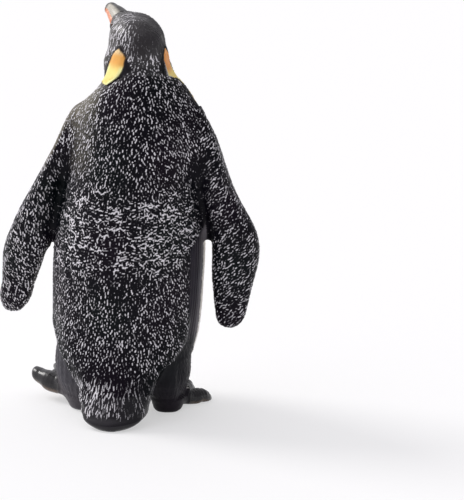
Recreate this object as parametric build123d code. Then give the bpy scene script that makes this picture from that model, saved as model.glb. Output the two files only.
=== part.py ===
from build123d import *
import os
from math import cos, radians, sin

# A standing penguin figurine in moulded vinyl, about 68 mm tall, in millimetres and degrees.
# The bird faces -Y, its left side is +X, and it stands on the plane Z = 0 on two feet and its tail.
# The torso is a pair of hollow half shells. Head, flippers, legs and tail are plugged into it on keyed pegs.

# Fits shared by every joint between mouldings
PEG_GAP = 0.08
SEAM_GAP = 0.05
SOCKET_WALL = 1.2
CUT_OVERRUN = 120.0
OVAL_POINTS = 12
key_flat_share = 0.7

# Torso shells, parted where the body is widest; the upper body leans over the bird's right foot
TORSO_HALF_WIDTH = 12.8
BELLY_DEPTH = 13.8
BACK_DEPTH = 12.4
UNDERSIDE_HEIGHT = 5.0
NECK_SEAT_HEIGHT = 56.5
NECK_SEAT_TILT = 20.0
NECK_SEAT_TURN = 18.0
TORSO_LEAN = 2.9
SHELL_WALL = 1.6
SHELL_FLOOR = 3.0
SHELL_CROWN = 9.0
# height, half width, belly depth, back depth, seat tilt and lean of each section, from the underside up
torso_shares = [
    (0.000, 0.50, 0.52, 0.42, 0.0, 0.00),
    (0.060, 0.80, 0.80, 0.74, 0.0, 0.00),
    (0.153, 0.95, 0.95, 0.93, 0.0, 0.00),
    (0.305, 1.00, 1.00, 1.00, 0.0, 0.08),
    (0.457, 1.00, 0.99, 1.00, 0.0, 0.22),
    (0.610, 0.92, 0.93, 0.96, 0.0, 0.45),
    (0.743, 0.84, 0.85, 0.89, 0.0, 0.66),
    (0.857, 0.82, 0.73, 0.79, 0.2, 0.82),
    (0.933, 0.76, 0.62, 0.67, 0.6, 0.93),
    (1.000, 0.52, 0.50, 0.50, 1.0, 1.00),
]

# Register pins that line up the two shells
PIN_RADIUS = 1.1
PIN_LENGTH = 3.0
PIN_SPREAD = 6.0
PIN_HEIGHTS = (17.0, 36.0)

# Head and neck, one moulding that turns to the bird's left and looks up
HEAD_HALF_WIDTH = 4.8
HEAD_DEPTH = 4.8
HEAD_REACH = 8.2
HEAD_RISE = 9.4
HEAD_TURN = 33.0
BEAK_PITCH = 22.0
NECK_STEP = 0.35
NECK_PEG_RADIUS = 2.6
NECK_PEG_LENGTH = 5.0
# reach, rise, turn, half width, throat depth and crown depth of each section, with its pitch in degrees
head_shares = [
    (0.02, 0.34, 0.70, 1.09, 1.12, 1.00, 86.0),
    (0.11, 0.66, 0.90, 1.00, 1.04, 1.02, 70.0),
    (0.32, 0.83, 1.00, 0.92, 0.96, 0.95, 45.0),
    (0.58, 0.90, 1.00, 0.76, 0.78, 0.73, 29.0),
    (0.83, 0.96, 1.00, 0.54, 0.55, 0.50, 22.0),
    (1.00, 1.00, 1.00, 0.40, 0.40, 0.34, 22.0),
]

# Ear patches, thin inlays on the sides of the neck
PATCH_PROUD = 0.3
PATCH_RECESS = 0.6
PATCH_LENGTH = 5.6
PATCH_WIDTH = 4.4
PATCH_LIFT = 4.0
PATCH_BACK = 2.0
patch_turn_share = 0.67
patch_waist_share = 0.40
patch_slope_share = 0.16

# Eyes, glossy beads in round sockets
EYE_RADIUS = 0.7
eye_reach_share = 0.62
eye_rise_share = 0.95
eye_spread_share = 0.65

# Beak, an upper and a lower moulding that close on each other
BEAK_LENGTH = 6.8
BEAK_HALF_WIDTH = 1.9
UPPER_BEAK_DEPTH = 1.65
LOWER_BEAK_DEPTH = 1.7
BEAK_DROOP = 16.0
TENON_LENGTH = 1.8
TENON_WIDTH = 1.6
TENON_DEPTH = 0.6
tenon_place_share = 0.42
# distance, half width and depth of each section from the root to the tip
upper_beak_shares = [(0.0, 1.0, 1.0), (0.4, 0.76, 0.80), (0.78, 0.46, 0.56), (1.0, 0.14, 0.20)]
lower_beak_shares = [(0.0, 0.94, 1.0), (0.4, 0.68, 0.70), (0.76, 0.36, 0.42), (0.93, 0.12, 0.16)]

# Flippers, which lie along the torso's sides from the shoulder to the wrist and end in a free blade
FLIPPER_CHORD = 8.4
FLIPPER_THICKNESS = 5.2
FLIPPER_GAP = 0.5
FLIPPER_BACK = 0.6
BLADE_LENGTH = 14.0
FLIPPER_PEG_RADIUS = 1.8
FLIPPER_PEG_ROOT = 1.6
FLIPPER_PEG_LENGTH = 5.6
FLIPPER_PEG_SECTION = 6
WRIST_SECTION = 4
# spread and forward swing of the blade, turn of the whole chord and wrist's distance from the torso
LEFT_POSE = (14.0, 15.0, 20.0, 0.0)
RIGHT_POSE = (-5.0, 3.0, 6.0, 1.0)
# torso section beside which each section of the upper arm lies, with its chord, thickness and gap
arm_shares = [
    (8, 0.05, 0.30, 1.9),
    (7, 0.20, 0.85, 1.2),
    (6, 0.43, 1.25, 1.0),
    (5, 0.72, 1.30, 1.0),
    (4, 0.96, 1.10, 1.0),
]
# distance, chord and thickness of each section of the blade
blade_shares = [(0.36, 0.88, 0.82), (0.72, 0.70, 0.58), (0.93, 0.44, 0.42)]

# Legs, the feathered thighs between torso and feet
LEG_SPREAD = 7.4
LEG_BACK = 2.2
LEG_TOP_HEIGHT = 14.5
ANKLE_HEIGHT = 2.6
LEG_HALF_WIDTH = 4.5
LEG_HALF_DEPTH = 5.6
LEG_PEG_RADIUS = 1.6
LEG_PEG_RISE = 6.4
leg_peg_start_share = 0.2
# height between ankle and top, half width and half depth of each section
leg_shares = [(0.0, 0.74, 0.70), (0.2, 0.90, 0.86), (0.55, 1.0, 1.0), (1.0, 0.78, 0.96)]

# Feet, three clawed toes with webs between them
TOE_LENGTH = 9.4
TOE_RADIUS = 1.5
TOE_FAN = 21.0
CLAW_LENGTH = 2.2
CLAW_DROP = 0.9
HEEL_RADIUS = 3.0
WEB_THICKNESS = 1.1
ANKLE_PEG_RADIUS = 1.2
ANKLE_PEG_LENGTH = 2.4
web_reach_share = 0.72
middle_toe_share = 1.12
heel_rise_share = 0.8
heel_foot_share = 0.7
# outward turn and lift of the toes, left and right
LEFT_STEP = (36.0, 18.0)
RIGHT_STEP = (10.0, 0.0)
# distance and radius of each toe section, then of each claw section
toe_shares = [(0.0, 1.14), (0.45, 1.06), (0.8, 0.92), (1.0, 0.70)]
claw_shares = [(0.35, 0.55), (1.0, 0.16)]

# Tail, a stiff wedge that props the bird up from behind
TAIL_TOP_HEIGHT = 15.5
TAIL_HALF_WIDTH = 11.0
TAIL_HALF_DEPTH = 4.2
TAIL_BACK = 12.6
TAIL_PEG_RADIUS = 1.6
TAIL_PEG_LENGTH = 8.0
TAIL_PEG_HEIGHT = 9.0
# height, half width, half depth and distance back of each section
tail_shares = [
    (0.00, 0.43, 0.62, 1.00),
    (0.16, 0.51, 0.76, 0.94),
    (0.37, 0.56, 0.90, 0.82),
    (0.58, 0.72, 1.02, 0.70),
    (0.77, 0.88, 1.04, 0.62),
    (1.00, 0.98, 0.92, 0.50),
]

STANDING = (Align.CENTER, Align.CENTER, Align.MIN)


def oval(place, half_width, below, above, seam=-90):
    """An egg-shaped face, deep by below along -Y and by above along +Y, closed at the seam's angle."""
    points = []
    for step in range(OVAL_POINTS):
        angle = radians(seam + step * 360 / OVAL_POINTS)
        depth = above if sin(angle) > 0 else below
        points.append((half_width * cos(angle), depth * sin(angle)))
    return place * make_face(Spline(*points, periodic=True))


def half_oval(place, half_width, depth, up):
    """Half an oval that stands on the plane's X axis, or hangs from it."""
    arc = EllipticalCenterArc((0, 0), half_width, depth, 0 if up else 180, arc_size=180)
    return place * make_face([arc, Line(arc @ 1, arc @ 0)])


def keyed_rod(place, radius, length):
    """A round rod with one flat along it, so that what it carries goes in one way only."""
    rod = Cylinder(radius, length, align=STANDING)
    spare = Box(radius, 2 * radius, length, align=(Align.MIN, Align.CENTER, Align.MIN))
    return place * (rod - Pos(key_flat_share * radius, 0, 0) * spare)


def slab(low, high):
    """Everything between two heights."""
    return Pos(0, 0, low) * Box(CUT_OVERRUN, CUT_OVERRUN, high - low, align=STANDING)


def body_plane(lean, reach, height, turn, pitch):
    """A plane across the bird whose normal climbs at the pitch along the gaze and whose Y looks back."""
    gaze = Vector(sin(radians(turn)), -cos(radians(turn)), 0)
    side = Vector(cos(radians(turn)), sin(radians(turn)), 0)
    centre = gaze * reach + Vector(-lean, 0, height)
    normal = gaze * cos(radians(pitch)) + Vector(0, 0, sin(radians(pitch)))
    return Plane(origin=centre, x_dir=side, z_dir=normal)


def seat_plane(tilt_share, lean_share, height):
    """A torso section; shares of one give the seat of the neck."""
    turn = tilt_share * NECK_SEAT_TURN
    return body_plane(lean_share * TORSO_LEAN, 0, height, turn, 90 - tilt_share * NECK_SEAT_TILT)


def head_plane(reach, rise, turn, pitch):
    """A section of the head, measured from the middle of the neck's seat."""
    return body_plane(TORSO_LEAN, reach, NECK_SEAT_HEIGHT + rise, turn, pitch)


def beak_plane(share):
    """A section of the beak at a share of its length, with the droop that it has there; none is its root."""
    root = head_plane(HEAD_REACH, HEAD_RISE, HEAD_TURN, BEAK_PITCH)
    bend = radians(BEAK_DROOP * share)
    distance = BEAK_LENGTH * share
    centre = root.origin + root.z_dir * (distance * cos(bend / 2)) - root.y_dir * (distance * sin(bend / 2))
    normal = root.z_dir * cos(bend) - root.y_dir * sin(bend)
    return Plane(origin=centre, x_dir=root.x_dir, z_dir=normal)


def torso_form(grow):
    """The outside of the torso, grown by a distance on every section."""
    faces = []
    for height, width, belly, back, tilt, lean in torso_shares:
        rise = UNDERSIDE_HEIGHT + height * (NECK_SEAT_HEIGHT - UNDERSIDE_HEIGHT)
        place = seat_plane(tilt, lean, rise)
        half_width = width * TORSO_HALF_WIDTH + grow
        faces.append(oval(place, half_width, belly * BELLY_DEPTH + grow, back * BACK_DEPTH + grow))
    return loft(faces)


def head_form(grow):
    """The neck and head as one bent form, grown by a distance on every section."""
    width, belly, back = torso_shares[-1][1:4]
    spare = grow - NECK_STEP
    seat = seat_plane(1, 1, NECK_SEAT_HEIGHT)
    half_width = width * TORSO_HALF_WIDTH + spare
    faces = [oval(seat, half_width, belly * BELLY_DEPTH + spare, back * BACK_DEPTH + spare)]
    for reach, rise, turn, width, throat, crown, pitch in head_shares:
        place = head_plane(reach * HEAD_REACH, rise * HEAD_RISE, turn * HEAD_TURN, pitch)
        half_width = width * HEAD_HALF_WIDTH + grow
        faces.append(oval(place, half_width, throat * HEAD_DEPTH + grow, crown * HEAD_DEPTH + grow))
    return loft(faces)


def neck_peg(gap):
    """The keyed peg under the head, grown by a gap to make its socket."""
    seat = seat_plane(1, 1, NECK_SEAT_HEIGHT)
    place = Plane(origin=seat.origin + seat.z_dir * NECK_PEG_RADIUS, x_dir=seat.x_dir, z_dir=-seat.z_dir)
    return keyed_rod(place, NECK_PEG_RADIUS + gap, NECK_PEG_RADIUS + NECK_PEG_LENGTH + gap)


def eye(side, gap):
    """An eye bead, grown by a gap to make its socket."""
    place = head_plane(eye_reach_share * HEAD_REACH, eye_rise_share * HEAD_RISE, HEAD_TURN, 90)
    centre = place.origin + place.x_dir * (side * eye_spread_share * HEAD_HALF_WIDTH)
    return Pos(*centre) * Sphere(EYE_RADIUS + gap)


def beak_tenon(up, gap):
    """The flat tongue that plugs a beak half into the head, grown by a gap to make its socket."""
    rise = tenon_place_share * (UPPER_BEAK_DEPTH if up else -LOWER_BEAK_DEPTH)
    backward = (Align.CENTER, Align.CENTER, Align.MAX)
    tongue = Box(TENON_WIDTH + 2 * gap, TENON_DEPTH + 2 * gap, TENON_LENGTH + gap, align=backward)
    return beak_plane(0) * Pos(0, rise, 0) * tongue


def beak_half(shares, depth, up):
    """One half of the beak with the tenon at its root."""
    faces = []
    for distance, width, deep in shares:
        faces.append(half_oval(beak_plane(distance), width * BEAK_HALF_WIDTH, deep * depth, up))
    return loft(faces) + beak_tenon(up, 0)


def patch_prism(side, gap):
    """The outline of an ear patch, drawn on the side of the neck and pushed out sideways."""
    turn = radians(HEAD_TURN * patch_turn_share)
    gaze = Vector(sin(turn), -cos(turn), 0)
    out = Vector(cos(turn), sin(turn), 0) * side
    centre = Vector(-TORSO_LEAN, 0, NECK_SEAT_HEIGHT + PATCH_LIFT) - gaze * PATCH_BACK
    place = Plane(origin=centre, x_dir=gaze, z_dir=gaze.cross(Vector(0, 0, 1)))
    slope = PATCH_LENGTH * patch_slope_share
    waist = PATCH_WIDTH * patch_waist_share
    top = (0, PATCH_LENGTH / 2)
    rear = (-PATCH_WIDTH / 2, slope - PATCH_LENGTH / 2)
    front = (PATCH_WIDTH / 2, -slope - PATCH_LENGTH / 2)
    edges = [
        ThreePointArc(rear, (-waist, 0), top),
        ThreePointArc(top, (waist, 0), front),
        Line(front, rear),
    ]
    outline = make_face(edges)
    if gap:
        outline = offset(outline, gap)
    return extrude(place * outline, CUT_OVERRUN, dir=out)


def torso_side(side, section, away):
    """A point at some distance outside the widest point of a torso section."""
    height, width, belly, back, tilt, lean = torso_shares[section]
    across = side * (width * TORSO_HALF_WIDTH + away) - lean * TORSO_LEAN
    return Vector(across, 0, UNDERSIDE_HEIGHT + height * (NECK_SEAT_HEIGHT - UNDERSIDE_HEIGHT))


def flipper_section(side, centre, chord, thick, turn):
    """A level section of a flipper, with its chord turned forward."""
    chord_line = Vector(cos(radians(side * turn)), -sin(radians(side * turn)), 0)
    place = Plane(origin=centre, x_dir=chord_line, z_dir=(0, 0, 1))
    half_thick = thick * FLIPPER_THICKNESS / 2
    return oval(place, chord * FLIPPER_CHORD / 2, half_thick, half_thick)


def flipper_form(side, pose):
    """One flipper, from the top of its shoulder along the torso to the tip of its blade."""
    spread, swing, turn, clear = pose
    faces = []
    for section, chord, thick, gap in arm_shares:
        away = gap * FLIPPER_GAP + chord * FLIPPER_CHORD / 2 + (clear if section == WRIST_SECTION else 0)
        wrist = torso_side(side, section, away) + Vector(0, FLIPPER_BACK, 0)
        faces.append(flipper_section(side, wrist, chord, thick, turn))
    out = radians(spread)
    forward = radians(swing)
    blade = Vector(side * sin(out), -cos(out) * sin(forward), -cos(out) * cos(forward)) * BLADE_LENGTH
    for distance, chord, thick in blade_shares:
        faces.append(flipper_section(side, wrist + blade * distance, chord, thick, turn))
    return loft(faces + [Vertex(*(wrist + blade))])


def flipper_peg_place(side):
    """The start of a flipper's peg, on the shells' parting plane and looking into the torso."""
    start = torso_side(side, FLIPPER_PEG_SECTION, FLIPPER_GAP + FLIPPER_PEG_ROOT)
    return Plane(origin=start, x_dir=(0, 1, 0), z_dir=(-side, 0, 0))


def leg_form(side):
    """A thigh that narrows towards the ankle."""
    faces = []
    for height, width, depth in leg_shares:
        place = Plane((side * LEG_SPREAD, LEG_BACK, ANKLE_HEIGHT + height * (LEG_TOP_HEIGHT - ANKLE_HEIGHT)))
        half_depth = depth * LEG_HALF_DEPTH
        faces.append(oval(place, width * LEG_HALF_WIDTH, half_depth, half_depth))
    return loft(faces)


def leg_peg_place(side):
    """The start of a leg's peg, on the shells' parting plane and looking up."""
    return Plane((side * LEG_SPREAD, 0, ANKLE_HEIGHT + leg_peg_start_share * LEG_PEG_RISE))


def ankle_peg(side, gap):
    """The keyed peg from a foot up into its leg, grown by a gap to make its socket."""
    start = Plane((side * LEG_SPREAD, LEG_BACK, ANKLE_HEIGHT - ANKLE_PEG_RADIUS))
    return keyed_rod(start, ANKLE_PEG_RADIUS + gap, ANKLE_PEG_RADIUS + ANKLE_PEG_LENGTH + gap)


def toe_heading(step):
    """The direction of one of the three toes, counted from the middle one."""
    return Vector(sin(radians(step * TOE_FAN)), -cos(radians(step * TOE_FAN)), 0)


def toe(length, along):
    """A toe with its claw, from the heel outwards along the ground."""
    across = Vector(-along.Y, along.X, 0)
    rise = Vector(0, 0, TOE_RADIUS)
    faces = []
    for distance, radius in toe_shares:
        faces.append(Plane(along * (distance * length) + rise, across, along) * Circle(radius * TOE_RADIUS))
    for distance, radius in claw_shares:
        centre = along * (length + distance * CLAW_LENGTH) + rise - Vector(0, 0, distance * CLAW_DROP)
        faces.append(Plane(centre, across, along) * Circle(radius * TOE_RADIUS))
    return loft(faces)


def foot_form(side, step):
    """A foot with its ankle block, flat where it stands on the ground."""
    turn, lift = step
    sole = Pos(0, 0, HEEL_RADIUS * heel_rise_share) * Sphere(HEEL_RADIUS)
    web = [(0, 0)]
    for place in (-1, 0, 1):
        length = TOE_LENGTH if place else TOE_LENGTH * middle_toe_share
        along = toe_heading(place)
        sole += toe(length, along)
        web.append((along.X * length * web_reach_share, along.Y * length * web_reach_share))
    sole += extrude(make_face(Polyline(*web, close=True)), WEB_THICKNESS)
    sole = Rot(0, 0, side * turn) * Rot(-lift, 0, 0) * sole
    sole += Cone(heel_foot_share * HEEL_RADIUS, HEEL_RADIUS, ANKLE_HEIGHT, align=STANDING)
    return Pos(side * LEG_SPREAD, LEG_BACK, 0) * sole & slab(0, CUT_OVERRUN)


def tail_form(grow):
    """The tail wedge, standing on the ground behind the legs, grown by a distance on every section."""
    faces = []
    for height, width, depth, back in tail_shares:
        place = Plane((0, back * TAIL_BACK, height * TAIL_TOP_HEIGHT))
        half_depth = depth * TAIL_HALF_DEPTH + grow
        faces.append(oval(place, width * TAIL_HALF_WIDTH + grow, half_depth, half_depth))
    return loft(faces)


def tail_peg_place():
    """The start of the tail's peg, looking forward into the back shell."""
    return Plane(origin=(0, TAIL_BACK, TAIL_PEG_HEIGHT), x_dir=(1, 0, 0), z_dir=(0, -1, 0))


sides = {"left": (1, LEFT_POSE, LEFT_STEP), "right": (-1, RIGHT_POSE, RIGHT_STEP)}
nodes = {}

# Torso shells, with bosses round the limbs' sockets and pillars round the register pins
sockets = [(tail_peg_place(), TAIL_PEG_RADIUS, TAIL_PEG_LENGTH)]
for side, pose, step in sides.values():
    sockets.append((flipper_peg_place(side), FLIPPER_PEG_RADIUS, FLIPPER_PEG_LENGTH))
    sockets.append((leg_peg_place(side), LEG_PEG_RADIUS, LEG_PEG_RISE))
pins = []
for height in PIN_HEIGHTS:
    for across in (-PIN_SPREAD, PIN_SPREAD):
        pins.append(Plane(origin=(across, 0, height), x_dir=(1, 0, 0), z_dir=(0, 1, 0)))
hollow = torso_form(-SHELL_WALL) & slab(UNDERSIDE_HEIGHT + SHELL_FLOOR, NECK_SEAT_HEIGHT - SHELL_CROWN)
for place, radius, length in sockets:
    hollow -= place * Cylinder(radius + SOCKET_WALL, length + SOCKET_WALL, align=STANDING)
for place in pins:
    hollow -= place * Cylinder(PIN_RADIUS + SOCKET_WALL, CUT_OVERRUN)
shells = torso_form(0) - hollow - neck_peg(PEG_GAP)
for place, radius, length in sockets:
    shells -= keyed_rod(place, radius + PEG_GAP, length + PEG_GAP)
rear = Box(CUT_OVERRUN, CUT_OVERRUN, CUT_OVERRUN, align=(Align.CENTER, Align.MIN, Align.MIN))
back_shell = shells & rear
belly_shell = shells - rear
for place in pins:
    back_shell -= place * Cylinder(PIN_RADIUS + PEG_GAP, 2 * PIN_LENGTH + 2 * PEG_GAP)
    belly_shell += place * Cylinder(PIN_RADIUS, 2 * PIN_LENGTH)
nodes["back_shell"] = back_shell
nodes["belly_shell"] = belly_shell

# Head, with pockets for the ear patches, eyes and beak tenons
head = head_form(0)
patch_bed = head_form(-PATCH_RECESS)
patch_skin = head_form(PATCH_PROUD) - head_form(SEAM_GAP - PATCH_RECESS)
for name, (side, pose, step) in sides.items():
    head -= patch_prism(side, SEAM_GAP) - patch_bed
    head -= eye(side, SEAM_GAP)
    nodes[name + "_ear_patch"] = patch_skin & patch_prism(side, 0)
    nodes[name + "_eye"] = eye(side, 0)
for up in (True, False):
    head -= beak_tenon(up, PEG_GAP)
nodes["head"] = head + neck_peg(0)
nodes["upper_beak"] = beak_half(upper_beak_shares, UPPER_BEAK_DEPTH, True)
nodes["lower_beak"] = beak_half(lower_beak_shares, LOWER_BEAK_DEPTH, False)

# Limbs and tail on their pegs; legs and tail are cut to the torso's outside
torso_trim = torso_form(SEAM_GAP)
tail_trim = tail_form(SEAM_GAP)
tail_peg = keyed_rod(tail_peg_place(), TAIL_PEG_RADIUS, TAIL_PEG_LENGTH)
nodes["tail"] = tail_form(0) - torso_trim + tail_peg
for name, (side, pose, step) in sides.items():
    flipper_peg = keyed_rod(flipper_peg_place(side), FLIPPER_PEG_RADIUS, FLIPPER_PEG_LENGTH)
    nodes[name + "_flipper"] = flipper_form(side, pose) + flipper_peg
    leg_peg = keyed_rod(leg_peg_place(side), LEG_PEG_RADIUS, LEG_PEG_RISE)
    nodes[name + "_leg"] = leg_form(side) - torso_trim - tail_trim + leg_peg - ankle_peg(side, PEG_GAP)
    nodes[name + "_foot"] = foot_form(side, step) - leg_form(side) - torso_trim + ankle_peg(side, 0)

# The origin is on the ground, under the middle of the whole bird
box = Compound(list(nodes.values())).bounding_box()
home = Pos(-box.center().X, -box.center().Y, -box.min.Z)
os.makedirs("parts", exist_ok=True)
for node, shape in nodes.items():
    export_step(home * shape, f"parts/{node}.step")
    print(node, len(shape.solids()), round(shape.volume, 2))
print("size", box.size, "moved", home.position)
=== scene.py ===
import math

import bmesh
import bpy
import numpy as np
from mathutils import Matrix, Vector
from mathutils.bvhtree import BVHTree
from mathutils.kdtree import KDTree


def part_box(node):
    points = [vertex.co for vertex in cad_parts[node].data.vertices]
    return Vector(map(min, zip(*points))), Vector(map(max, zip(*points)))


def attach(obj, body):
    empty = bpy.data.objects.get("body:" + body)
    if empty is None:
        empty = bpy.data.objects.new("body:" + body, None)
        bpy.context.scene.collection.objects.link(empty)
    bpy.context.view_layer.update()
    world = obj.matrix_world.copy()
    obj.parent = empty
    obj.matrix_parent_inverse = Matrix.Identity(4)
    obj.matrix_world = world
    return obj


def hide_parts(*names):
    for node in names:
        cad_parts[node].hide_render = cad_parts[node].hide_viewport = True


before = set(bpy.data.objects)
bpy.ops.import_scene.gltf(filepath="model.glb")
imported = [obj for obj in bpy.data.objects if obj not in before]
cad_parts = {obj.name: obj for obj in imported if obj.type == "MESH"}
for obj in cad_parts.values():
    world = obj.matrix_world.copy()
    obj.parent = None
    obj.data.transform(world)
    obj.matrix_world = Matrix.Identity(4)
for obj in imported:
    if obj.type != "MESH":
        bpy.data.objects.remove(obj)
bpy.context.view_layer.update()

# Plumage skin
# The outer skin that the glued vinyl mouldings share: shells, head, flippers, legs, feet and tail.
# It closes over their seams, and each section below takes the part of it that lies over its own moulding.
# Lengths are in millimetres, with x to the bird's left, y to its back and z up.
MM = 0.001
MERGE_GAP = 0.0005
SKIN_GRAIN = 0.36
SEAM_CLOSING = 0.5
SKIN_RELAXING = 6
SOFTEN_STEP = 0.8
SOFTEN_REFRESH = 30
FILL_ROUNDS = 320
EVEN_ROUNDS = 60
LABEL_ROUNDS = 6
GAP_TOP_LEFT = 31.0
GAP_TOP_RIGHT = 29.5
TORSO_MIDDLE = -0.5
SHOULDER_MIDDLE = -1.6
LEG_MIDDLE = 0.51
LEG_SPREAD = 7.4
LEG_BACK = 1.49
PLUMAGE = [
    "back_shell", "belly_shell", "head", "left_ear_patch", "right_ear_patch",
    "left_flipper", "right_flipper", "left_leg", "right_leg", "tail", "left_foot", "right_foot",
]


def merged_copy(node):
    """A copy of one CAD node's mesh with its triangles joined up."""
    form = bmesh.new()
    form.from_mesh(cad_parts[node].data)
    bmesh.ops.remove_doubles(form, verts=form.verts, dist=MERGE_GAP * MM)
    mesh = bpy.data.meshes.new(node + "_copy")
    form.to_mesh(mesh)
    form.free()
    return mesh


def with_modifiers(mesh, steps):
    """A new mesh with modifiers applied, each given as its kind and its settings."""
    worked = bpy.data.objects.new("worked", mesh)
    bpy.context.scene.collection.objects.link(worked)
    for kind, settings in steps:
        step = worked.modifiers.new(kind.lower(), kind)
        for setting, value in settings.items():
            setattr(step, setting, value)
    made = bpy.data.meshes.new_from_object(worked.evaluated_get(bpy.context.evaluated_depsgraph_get()))
    bpy.data.objects.remove(worked)
    return made


def outer_skin(mesh):
    """The one island of a mesh that holds its outermost point."""
    form = bmesh.new()
    form.from_mesh(mesh)
    reached = {max(form.verts, key=lambda vert: vert.co.x)}
    front = list(reached)
    while front:
        vert = front.pop()
        for edge in vert.link_edges:
            other = edge.other_vert(vert)
            if other not in reached:
                reached.add(other)
                front.append(other)
    inner = [vert for vert in form.verts if vert not in reached]
    bmesh.ops.delete(form, geom=inner, context="VERTS")
    form.to_mesh(mesh)
    form.free()
    return mesh


def join_mouldings(nodes):
    """Merged copies of some mouldings in one mesh."""
    joined = bmesh.new()
    for node in nodes:
        joined.from_mesh(merged_copy(node))
    mesh = bpy.data.meshes.new("joined")
    joined.to_mesh(mesh)
    joined.free()
    return mesh


def divide(mesh):
    """Each square of a mesh in four, rounded."""
    fine = with_modifiers(mesh, [("SUBSURF", {"levels": 1, "render_levels": 1})])
    fine.shade_smooth()
    return fine


def read_points(mesh):
    """The places of a mesh's vertices in millimetres."""
    flat = np.empty(len(mesh.vertices) * 3, np.float32)
    mesh.vertices.foreach_get("co", flat)
    return flat.reshape(-1, 3).astype(float) / MM


def read_normals(mesh):
    """The directions in which a mesh's vertices face."""
    flat = np.empty(len(mesh.vertices) * 3, np.float32)
    mesh.vertex_normals.foreach_get("vector", flat)
    return flat.reshape(-1, 3).astype(float)


def ease(values, start, end):
    """0 before start, 1 after end and a soft step between them, either way round."""
    share = np.clip((np.asarray(values, float) - start) / (end - start), 0, 1)
    return share * share * (3 - 2 * share)


def bell(values, width):
    """1 at zero, falling softly to nothing about two widths away."""
    return np.exp(-(np.asarray(values, float) / width) ** 2)


def soften(mesh, weights, rounds, filling):
    """Evens out a mesh by the weights of its points; filling raises its hollows and leaves its ridges."""
    spots = read_points(mesh)
    ends = np.empty(len(mesh.edges) * 2, np.int64)
    mesh.edges.foreach_get("vertices", ends)
    ends = ends.reshape(-1, 2)
    count = np.bincount(ends.ravel(), minlength=len(spots))[:, None]
    for turn in range(rounds):
        if turn % SOFTEN_REFRESH == 0:
            mesh.vertices.foreach_set("co", (spots * MM).astype(np.float32).ravel())
            mesh.update()
            outward = read_normals(mesh)
        total = np.empty_like(spots)
        for axis in range(3):
            total[:, axis] = np.bincount(ends[:, 0], spots[ends[:, 1], axis], len(spots))
            total[:, axis] += np.bincount(ends[:, 1], spots[ends[:, 0], axis], len(spots))
        pull = total / count - spots
        if filling:
            pull = outward * np.maximum((pull * outward).sum(1), 0)[:, None]
        spots += pull * (weights * SOFTEN_STEP)[:, None]
    mesh.vertices.foreach_set("co", (spots * MM).astype(np.float32).ravel())
    mesh.update()


def open_gap(spots):
    """1 where a gap between flipper and flank stays open, 0 where seams are closed."""
    x, z = spots[:, 0], spots[:, 2]
    top = np.where(x > 0, GAP_TOP_LEFT, GAP_TOP_RIGHT)
    beside = ease(np.abs(x - TORSO_MIDDLE), 9.5, 10.5)
    return ease(z - top, 0.0, -1.6) * ease(z, 17.0, 20.0) * beside


def cast_skin(nodes, grain, closing, relaxing):
    """The outside of some mouldings as one mesh of even squares, with the seams between them closed."""
    squares = ("REMESH", {"mode": "VOXEL", "voxel_size": grain * MM})
    mesh = join_mouldings(nodes)
    for way in (1, -1):
        mesh = with_modifiers(mesh, [squares])
        spots = read_points(mesh)
        spots += read_normals(mesh) * (way * closing * (1 - open_gap(spots)))[:, None]
        mesh.vertices.foreach_set("co", (spots * MM).astype(np.float32).ravel())
        mesh.update()
    return outer_skin(with_modifiers(mesh, [("SMOOTH", {"factor": 0.5, "iterations": relaxing})]))


# the left and right edges of the feathered mantle of the back, each point as its height and its x
MANTLE_LEFT = [(3.4, 5.4), (4.6, 6.2), (6.0, 7.6), (9.5, 9.6), (12.5, 11.3), (16.0, 13.0), (25.0, 15.0)]
MANTLE_RIGHT = [
    (3.4, -5.0), (6.5, -5.6), (9.4, -7.0), (10.5, -8.8),
    (13.0, -10.4), (16.5, -11.1), (29.0, -11.5), (34.0, -14.0),
]


def mantle_share(spots, softness):
    """How far points lie inside the feathered mantle of the back."""
    x, y, z = spots.T
    inside = ease(np.interp(z, *zip(*MANTLE_LEFT)) - x, -softness, softness)
    inside *= ease(x - np.interp(z, *zip(*MANTLE_RIGHT)), -softness, softness)
    return inside * ease(y, 0.2, 1.2)


# the back runs down into the tail without a step, the shoulders into the flippers and the legs into the feet
rough = cast_skin(PLUMAGE, SKIN_GRAIN, SEAM_CLOSING, SKIN_RELAXING)
spots = read_points(rough)
x, y, z = spots.T
low_back = mantle_share(spots, 0.6) * ease(z, 25, 20) * ease(z, 3.5, 6.0) * ease(y, 2, 4)
shoulders = ease(z, 39, 46) * ease(z, 57.5, 55) * ease(np.abs(x - SHOULDER_MIDDLE), 4.5, 7)
ankles = np.zeros(len(spots))
for side in (1, -1):
    ankle_gap = np.hypot(x - LEG_MIDDLE - side * LEG_SPREAD, y - LEG_BACK)
    ankles = np.maximum(ankles, ease(ankle_gap, 5.4, 4.4) * ease(z, 0.5, 1.2) * ease(z, 6.0, 4.5))
soften(rough, np.maximum(np.maximum(low_back, shoulders), ankles), FILL_ROUNDS, True)
x, y, z = read_points(rough).T
tops = ease(z, 42, 48) * ease(z, 57.5, 56) * ease(np.abs(x - SHOULDER_MIDDLE), 5, 7)
soften(rough, np.maximum(np.maximum(low_back * 0.6, tops), ankles * 0.9), EVEN_ROUNDS, False)
skin = divide(rough)
place = read_points(skin)
facing = read_normals(skin)

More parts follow.
